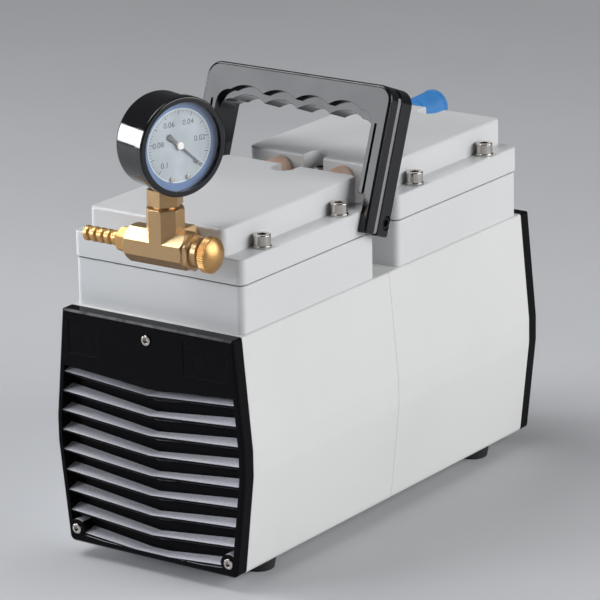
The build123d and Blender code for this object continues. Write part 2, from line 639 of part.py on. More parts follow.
def hose_barb():
    """Barbed hose tail: hex and fat rounded ridges with narrow grooves, screwed into the body."""
    hex_end = BODY_X[0] - HEX_LENGTH
    tip = hex_end - BARB_COUNT * BARB_PITCH
    tail = shaft_x(BARB_ROOT, tip, hex_end, 0, 0)
    for ridge in range(BARB_COUNT):
        left = tip + ridge * BARB_PITCH
        barrel = shaft_x(BARB_CREST, left, left + BARB_PITCH - BARB_GROOVE, 0, 0)
        tail += fillet(barrel.edges().filter_by(GeomType.CIRCLE), 1.2)
    tail = Pos(0, *valve_axis) * tail
    hexagon = along_x(Pos(*valve_axis) * flats(6, 13.0, turn=30), hex_end, BODY_X[0])
    hexagon = turned_ends(hexagon, 6.5, hex_end, BODY_X[0], 0.8)
    thread = shaft_x(4.0, BODY_X[0] - 0.5, BODY_X[0] + 8.5, *valve_axis)
    return tail + hexagon + thread - shaft_x(2.0, tip - 1, BODY_X[0] + 9, *valve_axis)


NUT_END = 43.4
NECK_RADIUS = 8.2
NECK_END = 47.8
COLLAR_RADIUS = 6.5
COLLAR_END = 49.9
KNOB_START = 50.4
KNOB_RIM = 3.8               # width of the knurled rim
KNOB_TIP = 58.4
KNOB_RADIUS = 10.0
KNOB_HOLLOW = 5.0            # depth of the knob's bore on the stem
KNURL_COUNT = 48


def packing_nut():
    """Hex nut with a long round neck that guides the needle."""
    nut = along_x(Pos(*valve_axis) * flats(6, 19.0, turn=30), BODY_X[1], NUT_END)
    nut = turned_ends(nut, 9.5, BODY_X[1], NUT_END, 1.2)
    neck = shaft_x(NECK_RADIUS, NUT_END - 0.5, NECK_END, *valve_axis)
    neck = chamfer(neck.edges().filter_by(GeomType.CIRCLE), 0.4)
    collar = shaft_x(COLLAR_RADIUS, NECK_END - 0.5, COLLAR_END, *valve_axis)
    thread = shaft_x(5.0, BODY_X[1] - 7, BODY_X[1] + 0.5, *valve_axis)
    body = nut + neck + collar + thread
    return body - shaft_x(STEM_RADIUS + RUNNING_GAP, BODY_X[1] - 8, COLLAR_END + 1, *valve_axis)


def valve_needle():
    """Stem with a cone point, turned by the knob."""
    y, z = valve_axis
    point = Plane(origin=(BODY_X[1] - 8.5, y, z), z_dir=(1, 0, 0)) * Cone(0.9, STEM_RADIUS, 3.0, align=BASE)
    return point + shaft_x(STEM_RADIUS, BODY_X[1] - 5.5, KNOB_START + KNOB_HOLLOW, *valve_axis)


def regulator_knob():
    """Domed knob with a straight-knurled rim, turned about X and then placed on the valve's axis."""
    rim_end = KNOB_START + KNOB_RIM
    dome_start = rim_end + 0.4
    dome_radius = KNOB_RADIUS - 0.4
    rise = KNOB_TIP - dome_start
    side = Polyline((KNOB_TIP, 0), (KNOB_START, 0), (KNOB_START, KNOB_RADIUS), (rim_end, KNOB_RADIUS),
                    (rim_end, dome_radius), (dome_start, dome_radius))
    dome = RadiusArc((dome_start, dome_radius), (KNOB_TIP, 0), (rise ** 2 + dome_radius ** 2) / (2 * rise))
    knob = revolve(Plane.XZ * make_face([side, dome]), Axis.X)
    groove = Pos(KNOB_START + KNOB_RIM / 2, 0, KNOB_RADIUS) * Rot(45, 0, 0) * Box(KNOB_RIM + 0.2, 0.7, 0.7)
    knob -= [groove.rotate(Axis.X, 360 / KNURL_COUNT * step) for step in range(KNURL_COUNT)]
    knob -= shaft_x(STEM_RADIUS, KNOB_START - 1, KNOB_START + KNOB_HOLLOW, 0, 0)
    return Pos(0, *valve_axis) * knob


# ---- gauge ---------------------------------------------------------------------------------------

GAUGE_RADIUS = 27.6
GAUGE_BACK = -7.6            # along the dial's normal, measured from the stem's axis
GAUGE_FRONT = 19.1
DIAL_DEPTH = 14.4
GAUGE_NECK = 3.2             # radius of the stem where it enters the case
CASE_RADIUS = 26.4
turn = radians(GAUGE_TURN)
gauge_normal = Vector(sin(turn), -cos(turn), 0)
gauge_centre = Vector(PORT_X, VALVE_Y, GAUGE_Z)


def gauge_plane(depth):
    """Plane parallel to the dial, `depth` in front of the stem's axis, with its local Y upright."""
    origin = gauge_centre + gauge_normal * depth
    return Plane(origin=origin, x_dir=(cos(turn), sin(turn), 0), z_dir=gauge_normal)


def gauge_disc(radius, start, end):
    return gauge_plane(start) * Cylinder(radius, end - start, align=BASE)


def gauge_case():
    """Deep drawn steel cup with a rounded back edge."""
    cup = Cylinder(CASE_RADIUS, DIAL_DEPTH + 2.2 - GAUGE_BACK, align=BASE)
    cup = fillet(cup.edges().group_by(Axis.Z)[0], 2.5)
    cup -= Pos(0, 0, 1.2) * Cylinder(CASE_RADIUS - 1.2, 40, align=BASE)
    cup = gauge_plane(GAUGE_BACK) * cup
    return cup - shaft_z(GAUGE_NECK, GAUGE_Z - CASE_RADIUS - 2, GAUGE_Z - 15, PORT_X, VALVE_Y)


def gauge_bezel():
    """Screwed ring that holds the glass, with a lip turned in over its edge."""
    start = DIAL_DEPTH - 1.0
    ring = Cylinder(GAUGE_RADIUS, GAUGE_FRONT - start, align=BASE)
    ring = fillet(ring.edges().group_by(Axis.Z)[-1], 1.1)
    ring -= Cylinder(CASE_RADIUS, GLASS_END - start, align=BASE)
    ring -= Cylinder(CASE_RADIUS - 2.0, 20, align=BASE)
    return gauge_plane(start) * ring


GLASS_START = DIAL_DEPTH + 2.2
GLASS_END = GLASS_START + 1.4
gauge_glass = gauge_disc(CASE_RADIUS - 0.1, GLASS_START, GLASS_END)
ARBOR_RADIUS = 0.9
gauge_dial = gauge_disc(CASE_RADIUS - 1.3, DIAL_DEPTH - 0.8, DIAL_DEPTH) - gauge_disc(
    ARBOR_RADIUS + 0.6, DIAL_DEPTH - 2, DIAL_DEPTH + 1)
NEEDLE_REST = -42.0          # degrees from the dial's local X at rest, pointing down and right
STOP_PIN_REACH = 15.6
STOP_PIN_RADIUS = 0.45


def gauge_needle():
    """Pointer with a broad tail and hub, turning on its arbor just above the dial."""
    blade = polygon((0, -0.55), (19.5, -0.2), (19.5, 0.2), (0, 0.55))
    tail = polygon((0, -0.5), (-9.5, -1.5), (-9.5, 1.5), (0, 0.5))
    plate = extrude(Rot(0, 0, NEEDLE_REST) * (blade + tail), amount=0.35)
    hub = Cylinder(2.1, 1.0, align=BASE)
    hub = fillet(hub.edges().group_by(Axis.Z)[-1], 0.3)
    pointer = gauge_plane(DIAL_DEPTH + 0.7) * (plate + hub)
    return pointer + gauge_disc(ARBOR_RADIUS, DIAL_DEPTH - 7, DIAL_DEPTH + 0.8)


def gauge_fixings():
    """Dial screws and the pin that the pointer rests against."""
    heads = []
    for x in (-5.2, 5.2):
        head = Pos(x, -18.0, 0) * Cylinder(1.5, 0.8, align=BASE)
        heads.append(gauge_plane(DIAL_DEPTH) * fillet(head.edges().group_by(Axis.Z)[-1], 0.25))
    below = radians(NEEDLE_REST) - 0.78 / STOP_PIN_REACH
    pin = Pos(STOP_PIN_REACH * cos(below), STOP_PIN_REACH * sin(below), 0) * Cylinder(
        STOP_PIN_RADIUS, 1.5, align=BASE)
    return heads + [gauge_plane(DIAL_DEPTH) * pin]


def gauge_socket():
    """Brass gauge stem: thread into the branch, hex, and the block inside the case."""
    hex_bottom = BRANCH_TOP + 1.5
    case_bottom = GAUGE_Z - CASE_RADIUS
    stem = shaft_z(4.8, BRANCH_TOP - 9, hex_bottom + 0.5, PORT_X, VALVE_Y)
    stem += shaft_z(6.5, BRANCH_TOP, hex_bottom + 0.5, PORT_X, VALVE_Y)
    hexagon = along_z(Pos(PORT_X, VALVE_Y) * flats(6, 17.5, turn=-10), hex_bottom, case_bottom - 0.3)
    neck = shaft_z(GAUGE_NECK, case_bottom - 0.5, case_bottom + 7, PORT_X, VALVE_Y)
    block = Pos(PORT_X, VALVE_Y, case_bottom + 9) * Rot(0, 0, GAUGE_TURN) * Box(9, 6, 6)
    return stem + hexagon + neck + block - shaft_z(1.5, BRANCH_TOP - 10, case_bottom + 8, PORT_X, VALVE_Y)


def bourdon_tube():
    """Flattened tube bent through three quarters of a turn; its closed end moves the pointer."""
    profile = Plane(origin=(15.0, 0, 0), x_dir=(1, 0, 0), z_dir=(0, 1, 0)) * Ellipse(1.2, 3.2)
    loop = revolve(profile, Axis.Z, revolution_arc=255)
    return gauge_plane(DIAL_DEPTH - 8.0) * Rot(0, 0, -75) * loop


# ---- silencer ------------------------------------------------------------------------------------

SILENCER_END = 173.1


def silencer():
    """Round moulded exhaust silencer: knurled collar, slightly tapered barrel and a rimmed end."""
    start = REAR_HEAD[1] + 3.0
    collar = shaft_y(8.6, start, start + 5.0, -TUBE_X, PORT_Z)
    barrel = Plane(origin=(-TUBE_X, start + 5.0, PORT_Z), z_dir=(0, 1, 0)) * Cone(
        9.0, 9.8, SILENCER_END - start - 8.0, align=BASE)
    rim = shaft_y(10.2, SILENCER_END - 3.0, SILENCER_END, -TUBE_X, PORT_Z)
    rim = fillet(rim.edges().filter_by(GeomType.CIRCLE), 0.8)
    body = collar + barrel + rim
    body -= shaft_y(7.6, SILENCER_END - 2.4, SILENCER_END + 1, -TUBE_X, PORT_Z)
    return body - shaft_y(3.0, start - 1, SILENCER_END - 6, -TUBE_X, PORT_Z)


def silencer_stub():
    """Threaded pipe between the rear head's exhaust port and the silencer, with a hex collar."""
    face = REAR_HEAD[1]
    pipe = shaft_y(PORT_RADIUS, face - 9, face + 0.5, -TUBE_X, PORT_Z)
    pipe += shaft_y(3.0, face, face + 14, -TUBE_X, PORT_Z)
    pipe += along_y(Pos(-TUBE_X, PORT_Z) * flats(6, 14.0), face, face + 3.0)
    return pipe - shaft_y(1.8, face - 10, face + 15, -TUBE_X, PORT_Z)


# ---- handle --------------------------------------------------------------------------------------

LEG_WIDTH = 10.2
FOOT_WIDTH = 5.7             # a leg is thinner beside the head
LEG_STEP = 13.5              # pivot to the change of width
SCREW_SINK = 3.2             # depth of the recess round a pivot screw's head
FINGER_PITCH = 22.8
FINGER_COUNT = 4
FINGER_DEPTH = 3.6
BEAM_EDGE = 15.6             # height of the beam's front face between two fingers
GRIP_DROP = 5.0              # the grip's core hangs this much below the front face
GRIP_INSET = 4.0             # depth of the front face's plate ahead of that core
HANDLE_EDGE = 1.8            # radius round the outside of the front and rear faces
HANDLE_CORNER = 9.0
HANDLE_HEEL = 1.5            # radius at the lower end of a leg
GRIP_CORNER = 8.0
GROOVE_DEPTH = 0.7
GROOVE_START = 8.0           # from the front face back to the groove round the outside
GROOVE_WIDTH = 4.0
RIDGE_LINE = (1.4, 40.0, 34.0)   # width, length and middle height of the line moulded in a leg
handle_plane = Plane(
    origin=(0, pivot_y, pivot_z), x_dir=(1, 0, 0),
    z_dir=(0, -cos(radians(HANDLE_LEAN)), sin(radians(HANDLE_LEAN))))


def beam_underside(drop):
    """The opening under the beam, drawn in the handle's plane, with a scallop for each finger."""
    inner = HANDLE_HALF - LEG_WIDTH
    height = HANDLE_TOP - BEAM_EDGE - drop
    opening = Pos(0, height / 2 - HANDLE_FOOT - 5) * Rectangle(2 * inner, height + 2 * HANDLE_FOOT + 10)
    top_corners = opening.vertices().group_by(Axis.Y)[-1]
    opening = fillet(top_corners, GRIP_CORNER)
    arc_radius = ((FINGER_PITCH / 2) ** 2 + FINGER_DEPTH ** 2) / (2 * FINGER_DEPTH)
    top = opening.bounding_box().max.Y
    for finger in range(FINGER_COUNT):
        x = (finger - (FINGER_COUNT - 1) / 2) * FINGER_PITCH
        bump = Pos(x, top + FINGER_DEPTH - arc_radius) * Circle(arc_radius)
        opening += bump & Pos(x, top) * Rectangle(FINGER_PITCH, 2 * FINGER_DEPTH)
    return opening


def handle_outline(inset=0.0):
    width = 2 * (HANDLE_HALF - inset)
    face = Pos(0, (HANDLE_TOP - HANDLE_FOOT) / 2) * Rectangle(width, HANDLE_TOP + HANDLE_FOOT - 2 * inset)
    face = fillet(face.vertices().group_by(Axis.Y)[-1], HANDLE_CORNER - inset)
    return fillet(face.vertices().group_by(Axis.Y)[0], HANDLE_HEEL)


def handle():
    """Carry handle: two legs outside the front head and a scalloped grip across the top."""
    near = HANDLE_FACE
    far = HANDLE_FACE - HANDLE_DEPTH

    def layer(sketch, start, end):
        return extrude(handle_plane.offset(end) * sketch, amount=start - end)

    plate = layer(handle_outline(), near, far)
    rims = [face.edges() for face in plate.faces().filter_by(Axis((0, 0, 0), handle_plane.z_dir))]
    plate = fillet(rims[0] + rims[1], HANDLE_EDGE)
    deep = handle_outline() - beam_underside(GRIP_DROP)
    body = plate - layer(beam_underside(0.0), near + 1, far - 1)
    body += layer(deep, near - GRIP_INSET, far + GRIP_INSET)
    step = Pos(0, LEG_STEP - 30) * Rectangle(2 * (HANDLE_HALF - FOOT_WIDTH), 60)
    body -= layer(step, near + 1, far - 1)
    groove = handle_outline(-1.0) - handle_outline(GROOVE_DEPTH)
    body -= layer(groove, near - GROOVE_START, near - GROOVE_START - GROOVE_WIDTH)
    for side in (-1, 1):
        line_width, line_length, line_middle = RIDGE_LINE
        line = Pos(side * (HANDLE_HALF - LEG_WIDTH + 3.0), line_middle) * Rectangle(line_width, line_length)
        body -= layer(line, near + 1, near - 1.2)
        bore_start, bore_end = sorted((side * 50.0, side * 70.0))
        body -= shaft_x(2.5 + RUNNING_GAP, bore_start, bore_end, pivot_y, pivot_z)
        sink_start, sink_end = sorted((side * (HANDLE_HALF - SCREW_SINK), side * 70.0))
        body -= shaft_x(4.3, sink_start, sink_end, pivot_y, pivot_z)
    return body


pivot_screw = cap_screw(4.0, 2.7, 2.5, 14.0)
pivot_screw_x = HANDLE_HALF - SCREW_SINK + 0.1
pivot_screws = [
    Plane(origin=(side * pivot_screw_x, pivot_y, pivot_z), z_dir=(side, 0, 0)) * pivot_screw for side in (-1, 1)]


# ---- electrics -----------------------------------------------------------------------------------

rear_face = CASE_REAR + PANEL_DEPTH
INLET_RECESS = (22.6, 15.4)
PIN_PLACES = [(-7.0, -2.0), (0.0, 2.0), (7.0, -2.0)]


def mains_inlet():
    """Three-pin appliance inlet, open at the rear, with its fixing flange."""
    body = along_y(Pos(INLET_X, INLET_Z) * Rectangle(*INLET_CUT), rear_face - 20.0, rear_face)
    flange = along_y(Pos(INLET_X, INLET_Z) * RectangleRounded(31.0, 24.0, 3.0), rear_face, rear_face + 2.0)
    recess = chamfer((Rectangle(*INLET_RECESS)).vertices().group_by(Axis.Y)[-1], 4.0)
    inlet = body + flange - along_y(Pos(INLET_X, INLET_Z) * recess, rear_face - 15.0, rear_face + 3)
    for x, z in PIN_PLACES:
        inlet -= along_y(Pos(INLET_X + x, INLET_Z + z) * Rectangle(2.0, 4.0), rear_face - 21, rear_face - 14)
    return inlet


inlet_pins = [along_y(Pos(INLET_X + x, INLET_Z + z) * Rectangle(2.0, 4.0), rear_face - 23.0, rear_face - 4.0)
              for x, z in PIN_PLACES]

ROCKER_TILT = 8.0
ROCKER_PIVOT_Y = rear_face - 4.0
ROCKER_SIZE = (15.0, 21.0)


def switch_body():
    """Rocker switch frame, open in front for the rocker."""
    body = along_y(Pos(SWITCH_X, SWITCH_Z) * Rectangle(*SWITCH_CUT), rear_face - 22.0, rear_face)
    flange = along_y(Pos(SWITCH_X, SWITCH_Z) * RectangleRounded(24.0, 30.0, 1.5), rear_face, rear_face + 1.8)
    frame = body + flange
    frame -= along_y(Pos(SWITCH_X, SWITCH_Z) * Rectangle(ROCKER_SIZE[0] + 1, ROCKER_SIZE[1] + 1.6),
                     rear_face - 14.0, rear_face + 3)
    return frame - shaft_x(1.5 + RUNNING_GAP, SWITCH_X - 9.5, SWITCH_X + 9.5, ROCKER_PIVOT_Y, SWITCH_Z)


def switch_rocker():
    """Rocker with a shallow V face, thrown to its off side at rest."""
    half = ROCKER_SIZE[1] / 2
    face = polygon((-7.0, -half + 2.0), (2.6, -half), (1.0, 0.0), (2.6, half), (-7.0, half - 2.0))
    block = along_x(face, -ROCKER_SIZE[0] / 2, ROCKER_SIZE[0] / 2)
    block += shaft_x(1.5, -9.0, 9.0, 0, 0)
    block = block.rotate(Axis.X, ROCKER_TILT)
    return Pos(SWITCH_X, ROCKER_PIVOT_Y, SWITCH_Z) * block


CAPACITOR_AXIS = (-43.0, 28.5)
CAPACITOR_RADIUS = 13.0
CAPACITOR_Y = (60.0, 112.0)


def motor_capacitor():
    """Run capacitor: aluminium can with a rounded base and two blade terminals."""
    start, end = CAPACITOR_Y
    x, z = CAPACITOR_AXIS
    can = shaft_y(CAPACITOR_RADIUS, start, end, x, z)
    can = fillet(can.edges().filter_by(GeomType.CIRCLE), 1.5)
    for blade_x in (x - 4.0, x + 4.0):
        can += Pos(blade_x, end + 3.5, z) * Box(0.8, 9.0, 5.0)
    return can


def capacitor_clip():
    """Sprung strap round the can with a foot on the casing floor."""
    x, z = CAPACITOR_AXIS
    start = sum(CAPACITOR_Y) / 2 - 6
    floor = FOOT_HEIGHT + CASE_WALL
    foot = along_y(Pos(x, (floor + z) / 2) * Rectangle(14.0, z - floor), start, start + 12)
    return sheet_ring(CAPACITOR_RADIUS + 1.0, CAPACITOR_RADIUS, start, start + 12, CAPACITOR_AXIS) + (
        foot - shaft_y(CAPACITOR_RADIUS, start - 1, start + 13, x, z))


def main():
    os.makedirs("parts", exist_ok=True)
    write("front_casing", casing_front)
    write("rear_casing", casing_rear)
    write("front_grille", panel_front)
    write("rear_panel", panel_rear)
    write("panel_screws", *panel_screw_set())
    write("rubber_feet", *feet)
    write("foot_screws", *foot_screws)
    for name in HEADS:
        write(f"{name}_cylinder_block", blocks[name])
        write(f"{name}_head_cover", covers[name])
        write(f"{name}_diaphragm", diaphragm(name))
        write(f"{name}_diaphragm_clamp", *diaphragm_clamp(name))
        write(f"{name}_connecting_rod", connecting_rod(name))
        write(f"{name}_rod_bearing", rod_bearing(name))
        write(f"{name}_eccentric", eccentric(name, -1 if name == "front" else 1))
    write("head_gaskets", head_gasket(FRONT_HEAD), head_gasket(REAR_HEAD))
    write("valve_plates", valve_plate(FRONT_HEAD), valve_plate(REAR_HEAD))
    write("reed_valves", *reeds(FRONT_HEAD), *reeds(REAR_HEAD))
    write("head_screws", *head_screws)
    write("head_washers", *head_washers)
    write("motor_shaft", motor_shaft)
    write("rotor_core", rotor_core)
    write("stator_core", stator_core)
    write("stator_windings", *windings)
    write("motor_end_bells", end_bell(-1), end_bell(1))
    write("motor_capacitor", motor_capacitor())
    write("capacitor_clip", capacitor_clip())
    write("shaft_bearings", *bearings)
    write("cooling_fans", fan(-1), fan(1))
    write("intake_tube", gas_tube(TUBE_X))
    write("exhaust_tube", gas_tube(-TUBE_X))
    write("port_fittings", *nipples, port_plug())
    write("valve_body", valve_body())
    write("inlet_nipple", inlet_nipple())
    write("hose_barb", hose_barb())
    write("packing_nut", packing_nut())
    write("valve_needle", valve_needle())
    write("regulator_knob", regulator_knob())
    write("gauge_socket", gauge_socket())
    write("gauge_case", gauge_case())
    write("gauge_bezel", gauge_bezel())
    write("gauge_glass", gauge_glass)
    write("gauge_dial", gauge_dial)
    write("gauge_needle", gauge_needle())
    write("gauge_fixings", *gauge_fixings())
    write("bourdon_tube", bourdon_tube())
    write("silencer", silencer())
    write("silencer_stub", silencer_stub())
    write("handle", handle())
    write("handle_pivot_screws", *pivot_screws)
    write("mains_inlet", mains_inlet())
    write("inlet_pins", *inlet_pins)
    write("switch_body", switch_body())
    write("switch_rocker", switch_rocker())


main()
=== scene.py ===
"""Looks of the twin-head diaphragm pump: finishes, soft edges, dial and switch marks, light and camera."""
import json
import math

import bpy
from mathutils import Matrix, Vector


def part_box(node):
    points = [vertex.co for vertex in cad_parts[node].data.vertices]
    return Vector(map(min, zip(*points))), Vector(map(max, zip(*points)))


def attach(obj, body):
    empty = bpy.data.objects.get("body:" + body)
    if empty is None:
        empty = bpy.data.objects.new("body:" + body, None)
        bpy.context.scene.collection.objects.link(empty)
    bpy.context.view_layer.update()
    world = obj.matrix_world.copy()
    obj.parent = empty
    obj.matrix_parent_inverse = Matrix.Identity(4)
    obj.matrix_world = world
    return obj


MM = 0.001                      # lengths without it are in metres
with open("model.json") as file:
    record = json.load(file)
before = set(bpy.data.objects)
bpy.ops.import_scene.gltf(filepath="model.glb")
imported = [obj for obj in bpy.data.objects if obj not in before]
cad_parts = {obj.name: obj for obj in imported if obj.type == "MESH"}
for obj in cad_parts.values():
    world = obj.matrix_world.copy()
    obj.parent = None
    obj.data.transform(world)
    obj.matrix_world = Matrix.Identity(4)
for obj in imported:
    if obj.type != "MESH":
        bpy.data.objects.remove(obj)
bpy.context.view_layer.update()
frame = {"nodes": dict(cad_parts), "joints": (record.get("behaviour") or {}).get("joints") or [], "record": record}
bodies = frame["record"]["behaviour"]["bodies"]
body_of_node = {node: body for body, nodes in bodies.items() for node in nodes}
slot_of_node = {part["node"]: part["material_slot"] for part in frame["record"]["subparts"]}
joint = {j["name"]: j for j in frame["joints"]}


def facing_matrix(place, target):
    """Stands at a place and looks along its -Z at the target, as a camera or a lamp does."""
    turn = (Vector(target) - Vector(place)).to_track_quat("-Z", "Y").to_matrix().to_4x4()
    return Matrix.Translation(place) @ turn


# ---- camera --------------------------------------------------------------------------------------

CAMERA_PLACE = (1.27161, -1.80018, 0.80186)
CAMERA_TARGET = (0.0, 0.005904, 0.121912)
CAMERA_ROLL = math.radians(-0.993)
CAMERA_LENS = 238.25            # the lens and the sensor are in millimetres, as Blender has them
SENSOR_WIDTH = 36.0


def add_camera():
    camera = bpy.data.objects.new("camera", bpy.data.cameras.new("camera"))
    camera.data.lens = CAMERA_LENS
    camera.data.sensor_width = SENSOR_WIDTH
    camera.data.clip_start = 0.05
    camera.data.clip_end = 50.0
    camera.matrix_world = facing_matrix(CAMERA_PLACE, CAMERA_TARGET) @ Matrix.Rotation(CAMERA_ROLL, 4, "Z")
    bpy.context.scene.collection.objects.link(camera)
    bpy.context.scene.camera = camera


# ---- light and floor -----------------------------------------------------------------------------

WHITE_LIGHT = (1.0, 1.0, 1.0)
COOL_LIGHT = (0.93, 0.96, 1.0)
PUMP_MIDDLE = (0.0, 0.0, 0.12)
GAUGE_SIDE = (0.0, -0.16, 0.25)
WORLD_COLOUR = (0.80, 0.82, 0.86)
WORLD_STRENGTH = 0.12
FLOOR_HALF = 8.0                # half the side of the square floor


def add_area_light(name, place, target, size, power, colour, spread=180.0):
    """A rectangular lamp: size is width and height, power in watts, spread in degrees."""
    light = bpy.data.lights.new(name, "AREA")
    light.shape = "RECTANGLE"
    light.size, light.size_y = size
    light.energy = power
    light.color = colour
    light.spread = math.radians(spread)
    lamp = bpy.data.objects.new(name, light)
    lamp.matrix_world = facing_matrix(place, target)
    lamp.visible_camera = False
    bpy.context.scene.collection.objects.link(lamp)


def add_lights():
    add_area_light("key_right", (2.2, 0.65, 1.0), PUMP_MIDDLE, (2.2, 1.6), 46.0, WHITE_LIGHT)
    add_area_light("top", (-0.95, -0.42, 1.9), PUMP_MIDDLE, (1.2, 1.2), 21.0, WHITE_LIGHT)
    add_area_light("front_left", (-1.27, -1.78, 0.88), PUMP_MIDDLE, (0.8, 0.75), 13.5, COOL_LIGHT)
    add_area_light("strip_left", (-1.75, -0.62, 0.44), GAUGE_SIDE, (0.4, 0.75), 2.6, COOL_LIGHT, spread=70.0)
    world = bpy.data.worlds.new("studio")
    world.use_nodes = True
    background = world.node_tree.nodes["Background"]
    background.inputs["Color"].default_value = (*WORLD_COLOUR, 1.0)
    background.inputs["Strength"].default_value = WORLD_STRENGTH
    bpy.context.scene.world = world
    bpy.context.scene.view_settings.view_transform = "Standard"


def add_floor():
    square = [(-FLOOR_HALF, -FLOOR_HALF), (FLOOR_HALF, -FLOOR_HALF), (FLOOR_HALF, FLOOR_HALF),
              (-FLOOR_HALF, FLOOR_HALF)]
    finish = Finish("floor_pale", (0.62, 0.63, 0.65), roughness=0.7)
    finish.vary_colour((0.60, 0.61, 0.63), (0.64, 0.65, 0.67), scale=3.0)
    floor = new_piece("floor", flat_mesh("floor", [square]), finish.material)


# ---- finishes ------------------------------------------------------------------------------------

ALL_WAYS = (1.0, 1.0, 1.0)
NOISE_SPAN = (0.3, 0.7)         # most of a noise texture's values lie in this span


def scaled(colour, factor):
    return tuple(factor * c for c in colour)


class Finish:
    """A Principled material whose patterns are made by nodes from object coordinates, in metres."""

    def __init__(self, name, colour, roughness, metallic=0.0, **sockets):
        self.material = bpy.data.materials.new(name)
        self.material.use_nodes = True
        self.nodes = self.material.node_tree.nodes
        self.links = self.material.node_tree.links
        self.shader = self.nodes["Principled BSDF"]
        self.shader.inputs["Base Color"].default_value = (*colour, 1.0)
        self.shader.inputs["Roughness"].default_value = roughness
        self.shader.inputs["Metallic"].default_value = metallic
        for socket, value in sockets.items():
            self.shader.inputs[socket.replace("_", " ")].default_value = value
        coordinates = self.nodes.new("ShaderNodeTexCoord")
        self.place = coordinates.outputs["Object"]
        self.facing = coordinates.outputs["Normal"]
        self.normal = None

    def colour_from(self, colour):
        self.links.new(colour, self.shader.inputs["Base Color"])

    def roughness_from(self, roughness):
        self.links.new(roughness, self.shader.inputs["Roughness"])

    def round_edges(self, radius):
        """Catch the light on edges as a small radius does."""
        node = self.nodes.new("ShaderNodeBevel")
        node.samples = 6
        node.inputs["Radius"].default_value = radius
        self.normal = node.outputs["Normal"]
        self.links.new(self.normal, self.shader.inputs["Normal"])

    def along(self, vector, direction):
        """How far a point or normal reaches along a direction."""
        node = self.nodes.new("ShaderNodeVectorMath")
        node.operation = "DOT_PRODUCT"
        node.inputs[1].default_value = direction
        self.links.new(vector, node.inputs[0])
        return node.outputs["Value"]

    def distance(self, centre):
        node = self.nodes.new("ShaderNodeVectorMath")
        node.operation = "DISTANCE"
        node.inputs[1].default_value = centre
        self.links.new(self.place, node.inputs[0])
        return node.outputs["Value"]

    def math(self, operation, first, second):
        """A Math node; first and second are each a number or a node's output."""
        node = self.nodes.new("ShaderNodeMath")
        node.operation = operation
        for value, socket in ((first, node.inputs[0]), (second, node.inputs[1])):
            if isinstance(value, float):
                socket.default_value = value
            else:
                self.links.new(value, socket)
        return node.outputs["Value"]

    def both(self, first, second):
        """The product of two masks: 1 only where both are 1."""
        return self.math("MULTIPLY", first, second)

    def noise(self, scale, detail=3.0, stretch=ALL_WAYS):
        mapping = self.nodes.new("ShaderNodeMapping")
        mapping.inputs["Scale"].default_value = stretch
        self.links.new(self.place, mapping.inputs["Vector"])
        texture = self.nodes.new("ShaderNodeTexNoise")
        texture.inputs["Scale"].default_value = scale
        texture.inputs["Detail"].default_value = detail
        self.links.new(mapping.outputs["Vector"], texture.inputs["Vector"])
        return texture.outputs["Fac"]

    def ramp(self, factor, *stops):
        """Colour ramp; each stop is (position, colour)."""
        ramp = self.nodes.new("ShaderNodeValToRGB")
        elements = ramp.color_ramp.elements
        while len(elements) < len(stops):
            elements.new(0.5)
        for element, (position, colour) in zip(elements, stops):
            element.position = position
            element.color = (*colour, 1.0)
        self.links.new(factor, ramp.inputs["Fac"])
        return ramp.outputs["Color"]

    def remap(self, factor, span, to_span):
        """Stretch one span of values over another, held at its ends."""
        node = self.nodes.new("ShaderNodeMapRange")
        node.inputs["From Min"].default_value = span[0]
        node.inputs["From Max"].default_value = span[1]
        node.inputs["To Min"].default_value = to_span[0]
        node.inputs["To Max"].default_value = to_span[1]
        self.links.new(factor, node.inputs["Value"])
        return node.outputs["Result"]

    def mix_colour(self, factor, first, second):
        """The first colour where the factor is 0, the second where it is 1."""
        node = self.nodes.new("ShaderNodeMix")
        node.data_type = "RGBA"
        self.links.new(factor, node.inputs["Factor"])
        for name, value in (("A", first), ("B", second)):
            socket = [s for s in node.inputs if s.name == name and s.type == "RGBA"][0]
            if isinstance(value, tuple):
                socket.default_value = (*value, 1.0)
            else:
                self.links.new(value, socket)
        return [s for s in node.outputs if s.type == "RGBA"][0]

    def vary_colour(self, dark, light, scale, detail=4.0):
        noise = self.noise(scale, detail)
        self.colour_from(self.ramp(noise, (NOISE_SPAN[0], dark), (NOISE_SPAN[1], light)))

    def vary_roughness(self, low, high, scale):
        self.roughness_from(self.remap(self.noise(scale, detail=4.0), NOISE_SPAN, (low, high)))

    def bump(self, height, distance, strength):
        node = self.nodes.new("ShaderNodeBump")
        node.inputs["Strength"].default_value = strength
        node.inputs["Distance"].default_value = distance
        self.links.new(height, node.inputs["Height"])
        if self.normal is not None:
            self.links.new(self.normal, node.inputs["Normal"])
        self.normal = node.outputs["Normal"]
        self.links.new(self.normal, self.shader.inputs["Normal"])


SOILING = 0.955                 # brightness of grimy paint beside clean paint


def white_paint(name, shade, roughness):
    """Satin powder coat: a fine orange peel, faint unevenness and a trace of grime."""
    finish = Finish(name, shade, roughness, Coat_Weight=0.15, Coat_Roughness=0.25)
    finish.round_edges(0.5 * MM)
    finish.vary_colour(scaled(shade, SOILING), shade, scale=9.0, detail=5.0)
    finish.vary_roughness(roughness - 0.05, roughness + 0.06, scale=30.0)
    finish.bump(finish.noise(900.0, 2.0), 0.04 * MM, strength=0.5)
    finish.bump(finish.noise(60.0, 2.0), 0.2 * MM, strength=0.12)
    return finish


